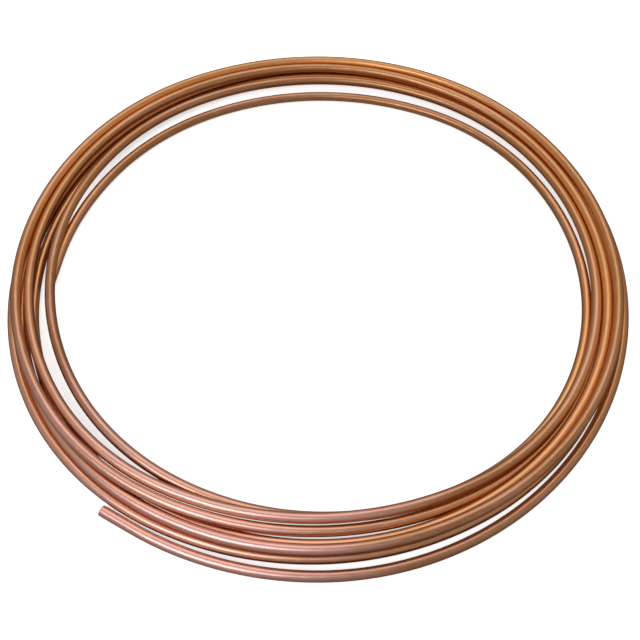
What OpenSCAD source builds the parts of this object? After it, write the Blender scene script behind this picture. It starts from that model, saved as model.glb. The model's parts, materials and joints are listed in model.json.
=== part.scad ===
// A loose coil of soft copper tube, lying flat: one length of round tube bent into
// nearly seven turns that cross over and rest on each other. Millimetres, +Z up,
// origin under the middle of the coil, on the surface that it lies on.

/* [Tube] */
// Outside diameter of the tube
tube_od = 8; // [6:0.5:10]
// Thickness of the tube's wall
tube_wall = 0.6; // [0.5:0.1:1]

/* [Coil] */
// Diameter across the outside of the outermost turn
coil_od = 500; // [420:10:700]
// Straight length left by the cutter at each end
straight_end = 25; // [15:5:30]

/* [Hidden] */

// Roundness of the bends and of the tube's section
bend_fn = 96;
section_fn = 32;

// Each turn is laid through six stations, 60 degrees apart: near side, near right,
// far right, far side, far left, near left. A turn passes each station at
// [inset, lift], in tube diameters: how far it lies inside the outermost turn, and
// how high it is stacked. A lift of 0 lies on the floor.
TURNS = [
    // outermost turn, sprung outwards along the near side
    [[0.00, 0.00], [0.00, 0.00], [-0.25, 0.00], [0.20, 0.00], [0.05, 0.00], [0.10, 0.00]],
    // floor layer of the bundle
    [[1.50, 0.00], [1.10, 0.00], [0.85, 0.00], [1.30, 0.00], [1.15, 0.00], [1.00, 0.50]],
    // rides on top of the two turns before it
    [[1.90, 1.25], [1.10, 1.75], [0.55, 1.40], [0.80, 1.05], [0.25, 1.30], [1.25, 1.70]],
    // drops down inside the bundle and stays on the floor
    [[3.65, 0.65], [2.45, 0.00], [1.90, 0.00], [2.55, 0.00], [2.30, 0.00], [2.00, 0.00]],
    // second layer, resting in the valley between two floor turns
    [[2.55, 0.35], [1.90, 1.05], [1.60, 1.00], [1.95, 1.00], [1.30, 1.10], [2.40, 1.20]],
    // inner edge of the bundle, rising to cross the last turn
    [[4.60, 1.25], [3.05, 0.95], [2.70, 0.75], [3.65, 0.65], [3.25, 1.00], [4.30, 1.00]],
    // innermost turn, sprung inwards along the far side
    [[5.00, 0.25], [3.55, 0.00], [4.00, 0.00], [5.65, 0.00], [4.50, 0.00]]];
station_step = 60;
first_station_azimuth = -90;
// The inner end stops short of a station: [azimuth, inset, lift]
END = [6 * 360 + 176, 3.79, 0.00];
// The outer end runs back from the first station in one round bend, a little wider
// than the coil, by this angle
outer_bend_angle = 29;
outer_bend_extra_r = 2.5 * tube_od;

tube_r = tube_od / 2;
bore_r = tube_r - tube_wall;
coil_centreline_r = coil_od / 2 - tube_r;

// Every other bend laps this far into its neighbours, with its wall thinner by the
// nest on each side, so that the bends join inside the wall and not along a skin.
lap = 0.8;
nest = 0.08;

laid = [for (turn = TURNS) each turn];
stations = concat(
    [for (k = [0 : len(laid) - 1])
        [first_station_azimuth + station_step * k, laid[k][0], laid[k][1]]],
    [END]);
last = len(stations) - 1;

function azimuth(k) = stations[k][0];
function centreline_r(k) = coil_centreline_r - stations[k][1] * tube_od;
function height(k) = tube_r + stations[k][2] * tube_od;

// The point of the centreline at station k
function spot(k) = [
    centreline_r(k) * cos(azimuth(k)),
    centreline_r(k) * sin(azimuth(k)),
    height(k)];

// How fast the radius and the height change at station k, for each radian round the
// coil. The tube is level wherever it lies on the floor.
function radians_between(a, b) = (azimuth(b) - azimuth(a)) * PI / 180;
function radius_slope(k) =
    k == 0 ? 0 :
    let (next = min(k + 1, last))
    (centreline_r(next) - centreline_r(k - 1)) / radians_between(k - 1, next);
function height_slope(k) =
    stations[k][2] == 0 ? 0 :
    (height(k + 1) - height(k - 1)) / radians_between(k - 1, k + 1);

// The direction in which the tube runs at station k
function unit(v) = v / norm(v);
function heading(k) = unit([
    radius_slope(k) * cos(azimuth(k)) - centreline_r(k) * sin(azimuth(k)),
    radius_slope(k) * sin(azimuth(k)) + centreline_r(k) * cos(azimuth(k)),
    height_slope(k)]);

// Two round bends join one station to the next. They meet, in line, at this point.
function meeting_point(k) =
    let (
        span = spot(k + 1) - spot(k),
        both = heading(k) + heading(k + 1),
        opening = 2 * (1 - heading(k) * heading(k + 1)),
        along = span * both,
        reach = (sqrt(along * along + opening * span * span) - along) / opening)
    (spot(k) + spot(k + 1) + reach * (heading(k) - heading(k + 1))) / 2;

// Where the outer end's bend starts, and its direction there
outer_bend_r = coil_centreline_r + outer_bend_extra_r;
outer_start = spot(0) + outer_bend_r * [-sin(outer_bend_angle), 1 - cos(outer_bend_angle), 0];
outer_heading = [cos(outer_bend_angle), -sin(outer_bend_angle), 0];

// A bend that starts in direction u along the chord c ends in this direction
function turned(u, c) = 2 * (u * unit(c)) * unit(c) - u;

// The wall of the tube in section
module section(thinner = 0) {
    difference() {
        circle(tube_r - thinner, $fn = section_fn);
        circle(bore_r + thinner, $fn = section_fn);
    }
}

// One round bend of tube from p to q that leaves p in direction u
module bend(p, u, q, laps) {
    chord = q - p;
    half_angle = acos(u * unit(chord));
    bend_r = norm(chord) / (2 * sin(half_angle));
    axis = unit(cross(u, chord));
    out = -cross(axis, u);
    centre = p - bend_r * out;
    lap_angle = laps ? lap / bend_r * 180 / PI : 0;
    multmatrix([
        [out.x, u.x, axis.x, centre.x],
        [out.y, u.y, axis.y, centre.y],
        [out.z, u.z, axis.z, centre.z],
        [0, 0, 0, 1]])
        rotate([0, 0, -lap_angle])
            rotate_extrude(angle = 2 * (half_angle + lap_angle), $fn = bend_fn)
                translate([bend_r, 0])
                    section(laps ? nest : 0);
}

// A straight cut end of the tube, from p in direction u
module straight(p, u) {
    side = unit(cross([0, 0, 1], u));
    up = cross(u, side);
    multmatrix([
        [side.x, up.x, u.x, p.x],
        [side.y, up.y, u.y, p.y],
        [side.z, up.z, u.z, p.z],
        [0, 0, 0, 1]])
        linear_extrude(straight_end)
            section();
}

module copper_tube() color("peru") {
    straight(outer_start, -outer_heading);
    bend(outer_start, outer_heading, spot(0), laps = true);
    for (k = [0 : last - 1]) {
        meet = meeting_point(k);
        bend(spot(k), heading(k), meet, laps = false);
        bend(meet, turned(heading(k), meet - spot(k)), spot(k + 1), laps = true);
    }
    straight(spot(last), heading(last));
}

copper_tube();
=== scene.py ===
# %% [markdown]
# # A coil of soft copper tube
# This is plumber's copper tube as it comes from the mill: one length of soft round
# tube, wound by hand into nearly seven loose turns that ride over each other. The
# lesson builds it as one closed sheet that is carried along a route, gives it the
# finish of drawn copper that has begun to brown, and shows it on a white floor.
#
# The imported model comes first, because the coil's size is taken from it.

# %% The frame and the tools
import json
import bpy
import numpy as np
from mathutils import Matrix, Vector


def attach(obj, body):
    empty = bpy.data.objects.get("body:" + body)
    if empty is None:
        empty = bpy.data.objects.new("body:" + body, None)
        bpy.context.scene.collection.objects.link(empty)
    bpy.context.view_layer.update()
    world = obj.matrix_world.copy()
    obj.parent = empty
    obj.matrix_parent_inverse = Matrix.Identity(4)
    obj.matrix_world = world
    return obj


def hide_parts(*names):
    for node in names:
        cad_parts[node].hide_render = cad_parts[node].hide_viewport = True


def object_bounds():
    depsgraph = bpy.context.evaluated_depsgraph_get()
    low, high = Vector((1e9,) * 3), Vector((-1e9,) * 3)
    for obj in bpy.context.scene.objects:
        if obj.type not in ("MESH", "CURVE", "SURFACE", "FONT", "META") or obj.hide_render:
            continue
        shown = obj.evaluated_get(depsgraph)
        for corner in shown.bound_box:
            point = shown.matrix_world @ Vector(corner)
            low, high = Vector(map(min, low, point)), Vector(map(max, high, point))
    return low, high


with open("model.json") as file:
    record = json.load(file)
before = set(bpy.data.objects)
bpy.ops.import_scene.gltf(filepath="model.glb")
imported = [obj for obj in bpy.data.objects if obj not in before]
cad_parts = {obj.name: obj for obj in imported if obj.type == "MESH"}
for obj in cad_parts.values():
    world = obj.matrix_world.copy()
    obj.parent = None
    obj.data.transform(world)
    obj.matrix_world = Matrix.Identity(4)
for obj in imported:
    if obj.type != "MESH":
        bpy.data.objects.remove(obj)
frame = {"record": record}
cad_box = [list(map(float, corner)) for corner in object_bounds()]
print("CAD box in metres:", np.round(cad_box, 4).tolist())

# %% [markdown]
# ## The sizes of the tube
# Tube is sold by its outside diameter and its wall. The outside diameter and the
# straight left by the cutter are those that a fitting has to suit, so the packed
# record states them for the outer end. The near side of the coil touches the box, so
# the box gives the ring that the outermost turn follows. All lengths are in metres.

# %% Tube and coil sizes
fitting_end = frame["record"]["mounts"][0]["dims"]
TUBE_R = fitting_end["r_mm"] / 1000
STRAIGHT_END = fitting_end["length_mm"] / 1000
WALL = 0.0006                                        # soft tube of this size has a thin wall
BORE_R = TUBE_R - WALL
NEAR_SIDE = round(-cad_box[0][1], 6)                 # to a thousandth of a millimetre
COIL_R = NEAR_SIDE - TUBE_R
print(f"tube {2e3 * TUBE_R:.1f} mm outside, {2e3 * BORE_R:.1f} mm bore, on a {2e3 * COIL_R:.0f} mm ring")

# %% [markdown]
# ## The stations of the coil
# Loose turns aren't circles: each one wanders in and out and climbs over the last. A
# spline with hundreds of points could draw that, but it would be hard to change. Six
# stations a turn, 60 degrees apart, say the same with few numbers: how many tube
# diameters a turn lies inside the outermost one, and how many it is lifted.

# %% Where each turn passes its stations
TURNS = np.array([
    [[0.00, 0.00], [0.00, 0.00], [-0.25, 0.00], [0.20, 0.00], [0.05, 0.00], [0.10, 0.00]],
    [[1.50, 0.00], [1.10, 0.00], [0.85, 0.00], [1.30, 0.00], [1.15, 0.00], [1.00, 0.50]],
    [[1.90, 1.25], [1.10, 1.75], [0.55, 1.40], [0.80, 1.05], [0.25, 1.30], [1.25, 1.70]],
    [[3.65, 0.65], [2.45, 0.00], [1.90, 0.00], [2.55, 0.00], [2.30, 0.00], [2.00, 0.00]],
    [[2.55, 0.35], [1.90, 1.05], [1.60, 1.00], [1.95, 1.00], [1.30, 1.10], [2.40, 1.20]],
    [[4.60, 1.25], [3.05, 0.95], [2.70, 0.75], [3.65, 0.65], [3.25, 1.00], [4.30, 1.00]],
    [[5.00, 0.25], [3.55, 0.00], [4.00, 0.00], [5.65, 0.00], [4.50, 0.00], [3.79, 0.00]]])
FIRST_AZIMUTH, STATION_STEP = -90, 60                # degrees round the coil
END_AZIMUTH = 6 * 360 + 176                          # the inner end stops short of its station

inset, lift = TURNS.reshape(-1, 2).T
station_azimuth = np.radians(FIRST_AZIMUTH + STATION_STEP * np.arange(float(len(inset))))
station_azimuth[-1] = np.radians(END_AZIMUTH)
station_r = COIL_R - inset * 2 * TUBE_R
station_z = TUBE_R + lift * 2 * TUBE_R
turns_wound = (station_azimuth[-1] - station_azimuth[0]) / (2 * np.pi)
print(len(station_r), "stations,", round(turns_wound, 2), "turns")

# %% [markdown]
# ## From stations to bends
# Soft tube keeps whatever bend it was last given, so a real coil is a chain of round
# bends that run smoothly into each other. Between two stations there are two such
# bends, which meet in line. That needs the direction of the tube at each station, and
# a meeting point where both bends share a tangent. There are many such points, and
# the fairest is halfway between two corners equally far out from their stations.


# %% Directions at the stations
def unit(v):
    """Each row divided by its length."""
    return v / np.linalg.norm(v, axis=-1, keepdims=True)


def slope(value, level):
    """The change of a value for each radian round the coil, from the stations on both
    sides: (next - previous) / (angle between them). It is 0 where the tube is level."""
    out = np.zeros_like(value)
    out[1:-1] = (value[2:] - value[:-2]) / (station_azimuth[2:] - station_azimuth[:-2])
    out[-1] = (value[-1] - value[-2]) / (station_azimuth[-1] - station_azimuth[-2])
    return np.where(level, 0.0, out)


cosine, sine = np.cos(station_azimuth), np.sin(station_azimuth)
r_slope = slope(station_r, np.arange(len(station_r)) == 0)
z_slope = slope(station_z, lift == 0)
spot = np.stack([station_r * cosine, station_r * sine, station_z], 1)
heading = unit(np.stack([
    r_slope * cosine - station_r * sine, r_slope * sine + station_r * cosine, z_slope], 1))
print("steepest climb:", round(float(np.degrees(np.arcsin(heading[:, 2]).max())), 1), "degrees")


# %% Meeting points
def meeting_points(p, q, u, w):
    """Where two bends from p, leaving along u, to q, arriving along w, meet in line:
    (p + q + d (u - w)) / 2. Here d is the positive root of
    opening d^2 + 2 along d = |q - p|^2, with opening = 2 (1 - u.w), along = (q - p).(u + w)."""
    span, both = q - p, u + w
    opening = 2 * (1 - (u * w).sum(1))
    along = (span * both).sum(1)
    reach = (np.sqrt(along ** 2 + opening * (span ** 2).sum(1)) - along) / opening
    return (p + q + reach[:, None] * (u - w)) / 2


meet = meeting_points(spot[:-1], spot[1:], heading[:-1], heading[1:])
print("bends:", 2 * len(meet))

# %% [markdown]
# ## The whole route
# The bends are laid end to end with a straight at both cut ends, where the cutter
# leaves a short length unbent, and one wider bend at the outer end, which has sprung
# away from the coil. Each piece is a start, a direction, a side to turn to and a
# radius, so a place at any distance along the tube is one formula.

# %% The sprung outer end
OUTER_TURN = np.radians(29)
outer_r = COIL_R + 5 * TUBE_R
outer_start = spot[0] + outer_r * np.array([-np.sin(OUTER_TURN), 1 - np.cos(OUTER_TURN), 0])
outer_heading = np.array([np.cos(OUTER_TURN), -np.sin(OUTER_TURN), 0])
print("outer bend starts at", np.round(outer_start, 4).tolist())

# %% Laying the bends end to end
to_meet = unit(meet - spot[:-1])
mid_heading = 2 * (heading[:-1] * to_meet).sum(1)[:, None] * to_meet - heading[:-1]
starts = np.concatenate([[outer_start], np.stack([spot[:-1], meet], 1).reshape(-1, 3)])
heads = np.concatenate([[outer_heading], np.stack([heading[:-1], mid_heading], 1).reshape(-1, 3)])
ends = np.concatenate([starts[1:], spot[-1:]])

chord = ends - starts
half = np.arccos(np.clip((heads * unit(chord)).sum(1), -1, 1))
bend_r = np.linalg.norm(chord, axis=1) / (2 * np.sin(half))
side = np.cross(unit(np.cross(heads, chord)), heads)
length = 2 * half * bend_r

STRAIGHT = 1e5                                       # a radius so large that the piece is straight
starts = np.concatenate([[outer_start - STRAIGHT_END * outer_heading], starts, spot[-1:]])
heads = np.concatenate([[outer_heading], heads, heading[-1:]])
side = np.concatenate([side[:1], side, side[-1:]])
bend_r = np.concatenate([[STRAIGHT], bend_r, [STRAIGHT]])
length = np.concatenate([[STRAIGHT_END], length, [STRAIGHT_END]])
begins = np.concatenate([[0], np.cumsum(length)[:-1]])
TUBE_LENGTH = length.sum()
print(f"route: {len(length)} pieces, {TUBE_LENGTH:.3f} m, tightest bend {bend_r.min() * 1e3:.0f} mm")


# %% A place on the route
def centreline(distance):
    """The point and direction at each distance along the tube. On a bend of radius R
    after t metres the point is start + R sin(t/R) heading + R (1 - cos(t/R)) side, and
    the direction is cos(t/R) heading + sin(t/R) side."""
    k = np.clip(np.searchsorted(begins, distance, side="right") - 1, 0, len(begins) - 1)
    bent = ((distance - begins[k]) / bend_r[k])[:, None]
    radius, ahead, inward = bend_r[k][:, None], heads[k], side[k]
    point = starts[k] + radius * np.sin(bent) * ahead + 2 * radius * np.sin(bent / 2) ** 2 * inward
    return point, np.cos(bent) * ahead + np.sin(bent) * inward


print("ends of the tube:", np.round(centreline(np.array([0, TUBE_LENGTH]))[0], 4).tolist())

# %% [markdown]
# ## The skin, the bore and the cut ends
# A tube is a ring swept along its route. A curve with a bevel would draw the outside,
# but it leaves a paper edge at the ends, and a tube cutter's edge is the one place
# where the wall shows: its wheel rolls the outside in and pushes a lip into the bore.
#
# So the wall is one closed sheet. Lengthwise it runs out along the skin, round the
# rolled edge, back through the bore and round the other edge to where it started.


# %% The cut edge
def cut_edge():
    """Distance back from the end and radius, from skin to bore: a quarter round where
    the wheel rolled the skin in, the flat cut face, and the lip inside the bore."""
    roll_length, roll_depth = 0.0007, 0.00022
    t = np.linspace(0, np.pi / 2, 6)
    rolled = np.stack([roll_length * (1 - np.sin(t)), TUBE_R - roll_depth * (1 - np.cos(t))], 1)
    face = np.array([[0.0, TUBE_R - 0.00032], [0.0, BORE_R - 0.00006]])
    lip = np.array([[0.00003, BORE_R - 0.00012], [0.0003, BORE_R - 0.00016],
                    [0.0009, BORE_R - 0.00005], [0.0016, BORE_R]])
    return np.concatenate([rolled, face, lip])


edge = cut_edge()
print("cut edge:", len(edge), "rings")

# %% The lengthwise loop of the wall
SKIN_RINGS, BORE_RINGS = 1660, 900                   # the bore is seen only at its ends
SKIN_FROM, BORE_FROM = 0.0016, 0.004                 # where each begins, back from the cut
skin_s = np.linspace(SKIN_FROM, TUBE_LENGTH - SKIN_FROM, SKIN_RINGS)
bore_s = np.linspace(TUBE_LENGTH - BORE_FROM, BORE_FROM, BORE_RINGS)
loop_s = np.concatenate([skin_s, TUBE_LENGTH - edge[:, 0], bore_s, edge[::-1, 0]])
loop_r = np.concatenate([
    np.full(SKIN_RINGS, TUBE_R), edge[:, 1], np.full(BORE_RINGS, BORE_R), edge[::-1, 1]])
print(len(loop_s), "rings in the loop")

# %% [markdown]
# ## Carrying the ring along
# Each ring needs two directions across the tube. The tube never stands upright, so
# one is always level and the other is square to it, and the sheet never twists. The
# angle round the ring starts at the top, and the seam is only a place in the grid.

# %% The grid of the wall
AROUND = 32
ring_angle = 2 * np.pi * np.arange(AROUND) / AROUND
place, forward = centreline(loop_s)
across = unit(np.cross(forward, [0.0, 0.0, 1.0]))    # level, to the outside of the coil
upward = np.cross(across, forward)


def wall(angle):
    """The wall as a function of the angle round the tube and the place in the loop:
    centre + radius (cos(angle) upward + sin(angle) across)."""
    angle = angle[None, :, None]
    ring = np.cos(angle) * upward[:, None] + np.sin(angle) * across[:, None]
    return place[:, None] + loop_r[:, None, None] * ring


grid = wall(ring_angle)
print("grid:", grid.shape[:2], "points")

# %% [markdown]
# ## Where turns lie against each other
# Hands and air turn the open tops of the turns brown. In the valleys between turns,
# near the floor and on the underside, the skin is painted a brighter orange: painted
# light that lifts the shade that falls there. Baking the shade would find the valleys,
# but the route already knows them: at any angle round the coil the other turns are a
# few circles, and the gap from a point of the skin to the nearest one is a subtraction.

# %% Measuring the gaps
trace_s = np.linspace(0, TUBE_LENGTH, 8000)
trace, _ = centreline(trace_s)
trace_azimuth = np.unwrap(np.arctan2(trace[:, 1], trace[:, 0]))
trace_r = np.hypot(trace[:, 0], trace[:, 1])


def gap_to_other_turns(points, own_s):
    """The distance from each point to the skin of the nearest other turn. At the
    point's own angle round the coil, each turn's section is a circle at (r, z)."""
    own = np.interp(own_s, trace_s, trace_azimuth)
    r, z = np.hypot(points[..., 0], points[..., 1]), points[..., 2]
    far_off = 0.05
    nearest = np.full(r.shape, far_off)
    most = len(TURNS)
    for turns_away in [*range(-most, 0), *range(1, most + 1)]:
        at = own + 2 * np.pi * turns_away
        wound = (at > trace_azimuth[0]) & (at < trace_azimuth[-1])
        other_r = np.interp(at, trace_azimuth, trace_r)[:, None]
        other_z = np.interp(at, trace_azimuth, trace[:, 2])[:, None]
        gap = np.hypot(r - other_r, z - other_z) - TUBE_R
        nearest = np.where(wound[:, None], np.minimum(nearest, gap), nearest)
    return nearest


gap = gap_to_other_turns(grid, loop_s)
print(f"smallest gap {gap.min() * 1e3:.2f} mm")

# %% From gaps to the valley mask
FADE = 0.0034                                        # how far out of a valley the painted lift fades
floor_gap = 1.6 * grid[..., 2] + 0.0005              # the floor counts for less than a turn does
valley = np.exp(-np.minimum(gap, floor_gap) / FADE)
down = np.clip((0.5 - np.cos(ring_angle)) / 0.9, 0, 1)
underside = down ** 2 * (3 - 2 * down)               # 0 on top of the tube, 1 well below its side
UNDERSIDE_WEIGHT = 0.4                              # what facing down gives on its own
# painted light: this mask brings the brighter orange that lifts the shade in valleys and on the underside
valley_and_underside = 1 - (1 - valley) * (1 - UNDERSIDE_WEIGHT * underside)
print(f"{100 * (valley_and_underside > 0.5).mean():.0f} % of the wall is sheltered")

# %% [markdown]
# ## The window-lit side, painted pink
# Copper goes from pink to golden brown with handling and air. This coil is given the
# brown all round, and a pinker, lighter colour on the near left, where the cool window
# light falls: painted light that stands in for the window's reflection. The change is
# slow round the coil, so a power of a cosine gives it better than a painted mask would.

# %% The window-lit side
# where the window light falls; the colour given here is painted light
WINDOW_LIT_SIDE = np.radians(-116)
round_coil = np.arctan2(grid[..., 1], grid[..., 0])
towards = 0.5 + 0.5 * np.cos(round_coil - WINDOW_LIT_SIDE)
window_lit = 0.9 * towards ** 9 + 0.1 * towards           # a narrow peak and a faint trace all round
print(f"fresh over {100 * (window_lit > 0.5).mean():.0f} % of the wall")

# %% [markdown]
# ## Making the mesh
# The grid closes on itself both ways, so it is a torus of quads and every edge has
# two faces. foreach_set fills the mesh from whole arrays, which takes no time. The
# corners of each quad go round so that its face looks out of the copper: away from
# the tube on the skin, and into the hollow in the bore.
#
# Three facts are kept on its points for the finish: where each lies on the tube
# before it was wound, how near a valley or the underside it is, which sets the painted
# lift of the valley colour, and how near the window-lit side it is, which sets the
# painted window light.


# %% A closed grid as a mesh
def closed_sheet(name, points):
    """A mesh of quads from rings x around points, wrapped round in both directions."""
    rings, around = points.shape[:2]
    i, j = np.meshgrid(np.arange(rings), np.arange(around), indexing="ij")
    i2, j2 = (i + 1) % rings, (j + 1) % around
    corners = [i * around + j, i * around + j2, i2 * around + j2, i2 * around + j]
    quads = np.stack(corners, -1).reshape(-1, 4)
    mesh = bpy.data.meshes.new(name)
    mesh.vertices.add(rings * around)
    mesh.vertices.foreach_set("co", points.astype(np.float32).ravel())
    mesh.loops.add(quads.size)
    mesh.loops.foreach_set("vertex_index", quads.astype(np.int32).ravel())
    mesh.polygons.add(len(quads))
    mesh.polygons.foreach_set("loop_start", np.arange(0, quads.size, 4, dtype=np.int32))
    mesh.update(calc_edges=True)
    mesh.validate()
    mesh.polygons.foreach_set("use_smooth", np.ones(len(quads), bool))
    return mesh


def keep_on_points(mesh, name, kind, values):
    """Stores one number or vector for each point under a name that a finish can read."""
    layer = mesh.attributes.new(name, kind, "POINT")
    field = "vector" if kind == "FLOAT_VECTOR" else "value"
    layer.data.foreach_set(field, values.astype(np.float32).ravel())


# %% The wall and its facts
mesh = closed_sheet("copper_tube_wall", grid)
tube = bpy.data.objects.new("copper_tube_wall", mesh)
bpy.context.scene.collection.objects.link(tube)

unwound = np.stack(np.broadcast_arrays(
    loop_s[:, None], loop_r[:, None] * np.cos(ring_angle), loop_r[:, None] * np.sin(ring_angle)), -1)
keep_on_points(mesh, "unwound", "FLOAT_VECTOR", unwound)
keep_on_points(mesh, "valley_and_underside", "FLOAT", valley_and_underside)
keep_on_points(mesh, "window_lit", "FLOAT", window_lit)

out_of_tube = grid[0, 0] - place[0]
looks_out = np.array(mesh.polygons[0].normal) @ out_of_tube > 0
print(len(mesh.polygons) * 2, "triangles, faces point", "out" if looks_out else "IN")

# %% [markdown]
# ## Drawn lines
# Tube is drawn through a die and over a plug, and both leave fine lines along it.
# They are far longer than wide, so the pattern must follow the tube: it reads the
# unwound place, stretched lengthwise, where X runs along the tube and Y and Z go
# round it. Each finish has such lines at its own scale, so they are a node group.


# %% Helpers for node trees
def node(tree, kind, **settings):
    """A node of that kind, with its settings; a name of an input sets that input."""
    made = tree.nodes.new(kind)
    for key, value in settings.items():
        if hasattr(made, key):
            setattr(made, key, value)
        else:
            made.inputs[key.replace("_", " ")].default_value = value
    return made


def stretched(tree, scales):
    """A node that multiplies a place by a scale along each axis."""
    made = node(tree, "ShaderNodeVectorMath", operation="MULTIPLY")
    made.inputs[1].default_value = scales
    return made


def scaled(tree, factor, offset, **settings):
    """A node that gives input * factor + offset."""
    made = node(tree, "ShaderNodeMath", operation="MULTIPLY_ADD", **settings)
    made.inputs[1].default_value, made.inputs[2].default_value = factor, offset
    return made


def smooth_mask(tree, start, full):
    """A node that rises smoothly from 0 at one value to 1 at another."""
    return node(tree, "ShaderNodeMapRange", interpolation_type="SMOOTHSTEP", From_Min=start, From_Max=full)


def wire(tree, *pairs):
    """Links each (output, input) pair."""
    for out, into in pairs:
        tree.links.new(out, into)


# %% Helpers for groups
def new_group(name, vectors=(), numbers=(), colours=(), gives=()):
    """A node group with named inputs and outputs, and its two end nodes. Numbers and
    colours come with their first value, and outputs with their kind."""
    group = bpy.data.node_groups.new(name, "ShaderNodeTree")
    sockets = [(label, "Vector", None) for label in vectors]
    sockets += [(label, "Float", start) for label, start in numbers]
    sockets += [(label, "Color", (*start, 1)) for label, start in colours]
    for label, kind, start in sockets:
        socket = group.interface.new_socket(label, in_out="INPUT", socket_type="NodeSocket" + kind)
        if start is not None:
            socket.default_value = start
    for label, kind in gives:
        group.interface.new_socket(label, in_out="OUTPUT", socket_type="NodeSocket" + kind)
    return group, node(group, "NodeGroupInput"), node(group, "NodeGroupOutput")


# %% The drawn-lines group
lines, into, out = new_group(
    "Drawn lines", vectors=["Unwound"],
    numbers=[("Fineness", 2600.0), ("Length", 2.5), ("Depth", 1.0)], gives=[("Height", "Float")])
scale = node(lines, "ShaderNodeCombineXYZ")
stretch = node(lines, "ShaderNodeVectorMath", operation="MULTIPLY")
fine = node(lines, "ShaderNodeTexNoise", Scale=1.0, Detail=3.0, Roughness=0.6)
depth = node(lines, "ShaderNodeMath", operation="MULTIPLY")
wire(lines,
     (into.outputs["Length"], scale.inputs["X"]),
     (into.outputs["Fineness"], scale.inputs["Y"]),
     (into.outputs["Fineness"], scale.inputs["Z"]),
     (into.outputs["Unwound"], stretch.inputs[0]),
     (scale.outputs[0], stretch.inputs[1]),
     (stretch.outputs[0], fine.inputs["Vector"]),
     (fine.outputs["Fac"], depth.inputs[0]),
     (into.outputs["Depth"], depth.inputs[1]),
     (depth.outputs[0], out.inputs["Height"]))
print("group:", lines.name)

# %% [markdown]
# ## Browning and painted light
# Bright copper browns unevenly, in long soft patches where it was handled. So the group
# mixes three colours that each finish brings: the window-lit colour, which is painted
# window light; the turned brown; and the valley colour, which on the skin is painted
# light that lifts the shade in the valleys and on the underside. Small specks of the
# valley colour show through the brown, as scuffs do. The mask goes out as well: a scuff
# is bare metal without the smooth film of handling, so it and the valleys are a little
# more matt.

# %% The browning group: painted window light or turned
browning_and_light, into, out = new_group(
    "Browning and painted light", vectors=["Unwound"],
    numbers=[("Valley and underside", 0.0), ("Window lit", 0.0), ("Patches", 0.5), ("Valley weight", 1.0)],
    colours=[("Window lit colour", (0.9, 0.5, 0.35)), ("Turned colour", (0.4, 0.2, 0.1)),
             ("Valley colour", (0.9, 0.45, 0.2))],
    gives=[("Colour", "Color"), ("Scuffs and valleys", "Float")])
patch_place = stretched(browning_and_light, (7.0, 110.0, 110.0))
patch = node(browning_and_light, "ShaderNodeTexNoise", Scale=1.0, Detail=4.0, Roughness=0.55)
patch_mask = smooth_mask(browning_and_light, 0.35, 0.7)
turned = scaled(browning_and_light, -1.1, 0.8)                 # less of the turned colour on the painted window-lit side
patches = node(browning_and_light, "ShaderNodeMath", operation="MULTIPLY_ADD", use_clamp=True)
tops = node(browning_and_light, "ShaderNodeMix", data_type="RGBA")
wire(browning_and_light,
     (into.outputs["Unwound"], patch_place.inputs[0]),
     (patch_place.outputs[0], patch.inputs["Vector"]),
     (patch.outputs["Fac"], patch_mask.inputs["Value"]),
     (into.outputs["Window lit"], turned.inputs[0]),
     (patch_mask.outputs[0], patches.inputs[0]),
     (into.outputs["Patches"], patches.inputs[1]),
     (turned.outputs[0], patches.inputs[2]),
     (patches.outputs[0], tops.inputs["Factor"]),
     (into.outputs["Window lit colour"], tops.inputs["A"]),
     (into.outputs["Turned colour"], tops.inputs["B"]))
print("group:", browning_and_light.name, "with", len(browning_and_light.nodes), "nodes so far")

# %% The browning group: painted valley lift and scuff specks
speck_place = stretched(browning_and_light, (120.0, 500.0, 500.0))
speck = node(browning_and_light, "ShaderNodeTexNoise", Scale=1.0, Detail=5.0, Roughness=0.65)
speck_mask = smooth_mask(browning_and_light, 0.5, 0.75)
valleys = node(browning_and_light, "ShaderNodeMath", operation="MULTIPLY")
contrast = scaled(browning_and_light, -0.6, 1.0)               # less of the valley colour on the painted window-lit side
shown_valleys = node(browning_and_light, "ShaderNodeMath", operation="MULTIPLY")
specks = scaled(browning_and_light, 0.22, 0.0)
scuffs_and_valleys = node(browning_and_light, "ShaderNodeMath", operation="MINIMUM")
scuffs_and_valleys.inputs[1].default_value = 1.0
mixed = node(browning_and_light, "ShaderNodeMix", data_type="RGBA")
wire(browning_and_light,
     (into.outputs["Unwound"], speck_place.inputs[0]),
     (speck_place.outputs[0], speck.inputs["Vector"]),
     (speck.outputs["Fac"], speck_mask.inputs["Value"]),
     (into.outputs["Valley and underside"], valleys.inputs[0]),
     (into.outputs["Valley weight"], valleys.inputs[1]),
     (into.outputs["Window lit"], contrast.inputs[0]),
     (contrast.outputs[0], shown_valleys.inputs[0]),
     (valleys.outputs[0], shown_valleys.inputs[1]),
     (speck_mask.outputs[0], specks.inputs[0]),
     (shown_valleys.outputs[0], specks.inputs[2]),
     (specks.outputs[0], scuffs_and_valleys.inputs[0]),
     (scuffs_and_valleys.outputs[0], mixed.inputs["Factor"]),
     (tops.outputs["Result"], mixed.inputs["A"]),
     (into.outputs["Valley colour"], mixed.inputs["B"]),
     (mixed.outputs["Result"], out.inputs["Colour"]),
     (scuffs_and_valleys.outputs[0], out.inputs["Scuffs and valleys"]))
print("group:", browning_and_light.name, "with", len(browning_and_light.nodes), "nodes")

# %% [markdown]
# ## The drawn copper finish
# One metal serves the whole wall, with a duller one in the bore and a brighter one on
# the cut. The colour of a metal is the colour of its reflections, so copper is a
# metallic shader with a salmon base. Soft tube isn't polished: its lines spread each
# highlight across the tube, which roughness and a fine bump give. A trace of drawing
# oil is left on it, which is the thin, dull coat.


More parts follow.
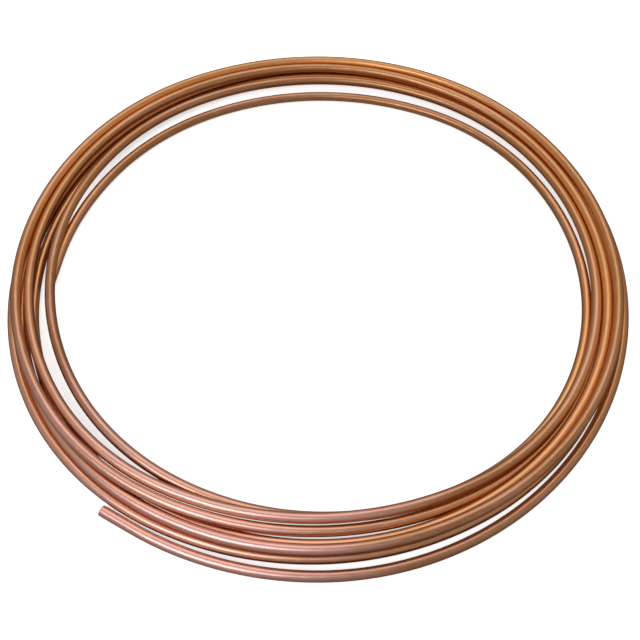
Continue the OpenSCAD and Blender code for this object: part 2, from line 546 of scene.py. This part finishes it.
# %% A copper material
def copper(name, window_lit_tone, turned_tone, valley_tone, patches, in_valleys, fineness, depth, rough):
    """A metal that puts the two groups together: colour and roughness from browning
    and painted light, height from the drawn lines and from slow dents in the soft wall.
    The pair rough is the roughness of the browned tops and of the scuffs and valleys."""
    material = bpy.data.materials.new(name)
    material.use_nodes = True
    tree = material.node_tree
    shader = tree.nodes["Principled BSDF"]
    shader.inputs["Metallic"].default_value = 1.0
    shader.inputs["Coat Weight"].default_value = 0.4
    shader.inputs["Coat Roughness"].default_value = 0.3
    shader.inputs["Specular Tint"].default_value = (0.6, 0.35, 0.25, 1.0)

    unwound = node(tree, "ShaderNodeAttribute", attribute_name="unwound")
    valley_mask = node(tree, "ShaderNodeAttribute", attribute_name="valley_and_underside")
    window_lit_mask = node(tree, "ShaderNodeAttribute", attribute_name="window_lit")
    colour = node(tree, "ShaderNodeGroup", node_tree=browning_and_light)
    colour.inputs["Window lit colour"].default_value = (*window_lit_tone, 1.0)
    colour.inputs["Turned colour"].default_value = (*turned_tone, 1.0)
    colour.inputs["Valley colour"].default_value = (*valley_tone, 1.0)
    colour.inputs["Patches"].default_value = patches
    colour.inputs["Valley weight"].default_value = in_valleys
    drawn = node(tree, "ShaderNodeGroup", node_tree=lines)
    drawn.inputs["Fineness"].default_value = fineness
    drawn.inputs["Depth"].default_value = depth
    matt = node(tree, "ShaderNodeMapRange")
    matt.inputs["To Min"].default_value, matt.inputs["To Max"].default_value = rough
    dent_place = stretched(tree, (22.0, 60.0, 60.0))
    dents = node(tree, "ShaderNodeTexNoise", Scale=1.0, Detail=2.0, Roughness=0.5)
    dent_bump = node(tree, "ShaderNodeBump", Strength=1.0, Distance=0.0008)
    line_bump = node(tree, "ShaderNodeBump", Strength=0.7, Distance=0.00005)
    wire(tree,
         (unwound.outputs["Vector"], colour.inputs["Unwound"]),
         (valley_mask.outputs["Fac"], colour.inputs["Valley and underside"]),
         (window_lit_mask.outputs["Fac"], colour.inputs["Window lit"]),
         (colour.outputs["Colour"], shader.inputs["Base Color"]),
         (colour.outputs["Scuffs and valleys"], matt.inputs["Value"]),
         (matt.outputs[0], shader.inputs["Roughness"]),
         (unwound.outputs["Vector"], dent_place.inputs[0]),
         (dent_place.outputs[0], dents.inputs["Vector"]),
         (dents.outputs["Fac"], dent_bump.inputs["Height"]),
         (unwound.outputs["Vector"], drawn.inputs["Unwound"]),
         (drawn.outputs["Height"], line_bump.inputs["Height"]),
         (dent_bump.outputs[0], line_bump.inputs["Normal"]),
         (line_bump.outputs[0], shader.inputs["Normal"]))
    return material


# %% The three finishes
finishes = [
    # On the skin the window-lit tone is painted window light, and the valley tone is painted light: a
    # brighter orange that lifts the shade in valleys and on the underside.
    copper("drawn_copper", window_lit_tone=(0.62, 0.335, 0.30), turned_tone=(0.33, 0.144, 0.064),
           valley_tone=(1.0, 0.50, 0.17), patches=0.6, in_valleys=1.0,
           fineness=2600.0, depth=1.0, rough=(0.32, 0.42)),
    # In the bore and on the cut the valley tone is darker, so there the mask makes them darker towards the
    # valleys and the underside.
    copper("bore_copper", window_lit_tone=(0.62, 0.34, 0.22), turned_tone=(0.5, 0.24, 0.13),
           valley_tone=(0.2, 0.08, 0.04), patches=1.0, in_valleys=0.6,
           fineness=1800.0, depth=1.5, rough=(0.45, 0.6)),
    copper("cut_copper", window_lit_tone=(0.97, 0.66, 0.5), turned_tone=(0.93, 0.58, 0.42),
           valley_tone=(0.5, 0.25, 0.15), patches=0.3, in_valleys=0.2,
           fineness=4200.0, depth=0.6, rough=(0.22, 0.35))]
for material in finishes:
    mesh.materials.append(material)
print("finishes:", [material.name for material in finishes])

# %% Which faces take which finish
SKIN, BORE, CUT = 0, 1, 2
CUT_FROM, CUT_TO = 4, 10                             # the edge's faces that are bare cut metal
first_edge, second_edge = SKIN_RINGS, SKIN_RINGS + len(edge) + BORE_RINGS
second_end = second_edge + len(edge) - 1             # the second edge runs from bore to skin
ring_finish = np.full(len(loop_s), SKIN, np.int32)
ring_finish[first_edge + CUT_FROM:first_edge + CUT_TO] = CUT
ring_finish[first_edge + CUT_TO:second_end - CUT_TO] = BORE
ring_finish[second_end - CUT_TO:second_end - CUT_FROM] = CUT
mesh.polygons.foreach_set("material_index", np.repeat(ring_finish, AROUND))
mesh.update()
print("faces in skin, bore, cut:", [int(n) for n in np.bincount(ring_finish) * AROUND])

# %% [markdown]
# ## Joining the frame
# The wall stands for the CAD tube and moves with the coil's one body.

# %% Riding on the coil
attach(tube, "root")
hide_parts("copper_tube")
print("riding:", tube.name)

# %% [markdown]
# ## The floor
# Stock is shown on plain white paper. Under copper, white paper has a drawback: the
# metal mirrors it, and the lower edge of every turn washes out. So the floor has two
# looks. To the eye it is white and glows a little, which keeps the narrow gaps between
# turns clean. To the copper it is a dim grey, which draws each turn's dark lower edge.
# The Light Path node tells the two apart.


# %% Looks that differ for the eye
def for_the_eye(tree, seen, mirrored=(0.5, 0.5, 0.5)):
    """A mix that gives one colour to the eye and another in reflections, and the node
    that tells them apart. A wire to the mix's A takes the place of the mirrored colour."""
    ray = node(tree, "ShaderNodeLightPath")
    look = node(tree, "ShaderNodeMix", data_type="RGBA", A=(*mirrored, 1), B=(*seen, 1))
    wire(tree, (ray.outputs["Is Camera Ray"], look.inputs["Factor"]))
    return look, ray


# %% The floor
FLOOR_HALF = 40                                      # metres, so that no corner shows in a low view
floor_corners = [(-FLOOR_HALF, -FLOOR_HALF, 0), (FLOOR_HALF, -FLOOR_HALF, 0),
                 (FLOOR_HALF, FLOOR_HALF, 0), (-FLOOR_HALF, FLOOR_HALF, 0)]
floor_mesh = bpy.data.meshes.new("floor")
floor_mesh.from_pydata(floor_corners, [], [(0, 1, 2, 3)])
floor = bpy.data.objects.new("floor", floor_mesh)
floor.location.z = -0.0002                           # clear of the turns that lie on it
bpy.context.scene.collection.objects.link(floor)

paper = bpy.data.materials.new("pale_floor")
paper.use_nodes = True
floor_tree = paper.node_tree
surface = floor_tree.nodes["Principled BSDF"]
surface.inputs["Roughness"].default_value = 0.9
surface.inputs["Specular IOR Level"].default_value = 0.1
surface.inputs["Emission Color"].default_value = (1, 1, 1, 1)
whiteness, ray = for_the_eye(floor_tree, seen=(0.9, 0.9, 0.9), mirrored=(0.40, 0.365, 0.35))
glow = node(floor_tree, "ShaderNodeMath", operation="MULTIPLY")
glow.inputs[1].default_value = 0.6
wire(floor_tree,
     (whiteness.outputs["Result"], surface.inputs["Base Color"]),
     (ray.outputs["Is Camera Ray"], glow.inputs[0]),
     (glow.outputs[0], surface.inputs["Emission Strength"]))
floor_mesh.materials.append(paper)
print("floor:", 2 * FLOOR_HALF, "m across")

# %% [markdown]
# ## Lights, room and camera
# Copper shows what it mirrors, so its lights are large and soft: a cool one at the
# near left, as from a window, paints the long pale streaks, and one beyond the coil
# lights the far side. Between the lights the copper mirrors the room, so the room has
# shades of its own. They run from warm, away from the window, to cool beside it, and
# behind the coil the eye sees plain white.


# %% The lights
def soft_light(name, place, size, power, colour):
    """A square area light at a place, turned to face the middle of the coil."""
    lamp = bpy.data.lights.new(name, "AREA")
    lamp.shape, lamp.size, lamp.energy, lamp.color = "SQUARE", size, power, colour
    made = bpy.data.objects.new(name, lamp)
    made.location = place
    made.rotation_euler = (-Vector(place)).to_track_quat("-Z", "Y").to_euler()
    bpy.context.scene.collection.objects.link(made)


soft_light("near_left_light", (-0.7, -0.9, 1.5), size=0.9, power=10.5, colour=(0.93, 0.96, 1.0))
soft_light("far_light", (0, 1.15, 1.9), size=1.6, power=9.5, colour=(1.0, 0.98, 0.96))

# %% The room
WINDOW = (-0.35, -0.65, 0.67)                        # towards the window
ROOM_SHADES = [(0.0, (0.48, 0.44, 0.40)), (0.5, (0.63, 0.59, 0.54)),
               (0.7, (0.56, 0.54, 0.52)), (1.0, (0.46, 0.47, 0.49))]
world = bpy.data.worlds.new("studio")
bpy.context.scene.world = world
world.use_nodes = True
room = world.node_tree
facing = node(room, "ShaderNodeTexCoord")
window_side = node(room, "ShaderNodeVectorMath", operation="DOT_PRODUCT")
window_side.inputs[1].default_value = WINDOW
spread = node(room, "ShaderNodeMapRange", From_Min=-1.0)
shade = node(room, "ShaderNodeValToRGB")
stops = shade.color_ramp.elements
for at, _ in ROOM_SHADES[1:-1]:
    stops.new(at)
for stop, (at, colour) in zip(stops, ROOM_SHADES):
    stop.position, stop.color = at, (*colour, 1)
backdrop, _ = for_the_eye(room, seen=(1, 1, 1))
wire(room,
     (facing.outputs["Generated"], window_side.inputs[0]),
     (window_side.outputs["Value"], spread.inputs["Value"]),
     (spread.outputs[0], shade.inputs["Fac"]),
     (shade.outputs["Color"], backdrop.inputs["A"]),
     (backdrop.outputs["Result"], room.nodes["Background"].inputs["Color"]))
bpy.context.scene.view_settings.view_transform = "Standard"
print("room shades:", len(stops))

# %% The camera
camera_data = bpy.data.cameras.new("camera")
camera_data.sensor_width, camera_data.lens = 36.0, 47.38
camera = bpy.data.objects.new("camera", camera_data)
bpy.context.scene.collection.objects.link(camera)
tilt = np.radians(59.03)                             # how far it looks down
camera_distance = 0.6729
aim = np.array([0.0017, -0.0429, 0.0])
camera.location = aim + camera_distance * np.array([0, -np.cos(tilt), np.sin(tilt)])
camera.rotation_euler = (np.pi / 2 - tilt, 0, 0)
bpy.context.scene.camera = camera
print("camera at", [round(v, 4) for v in camera.location])
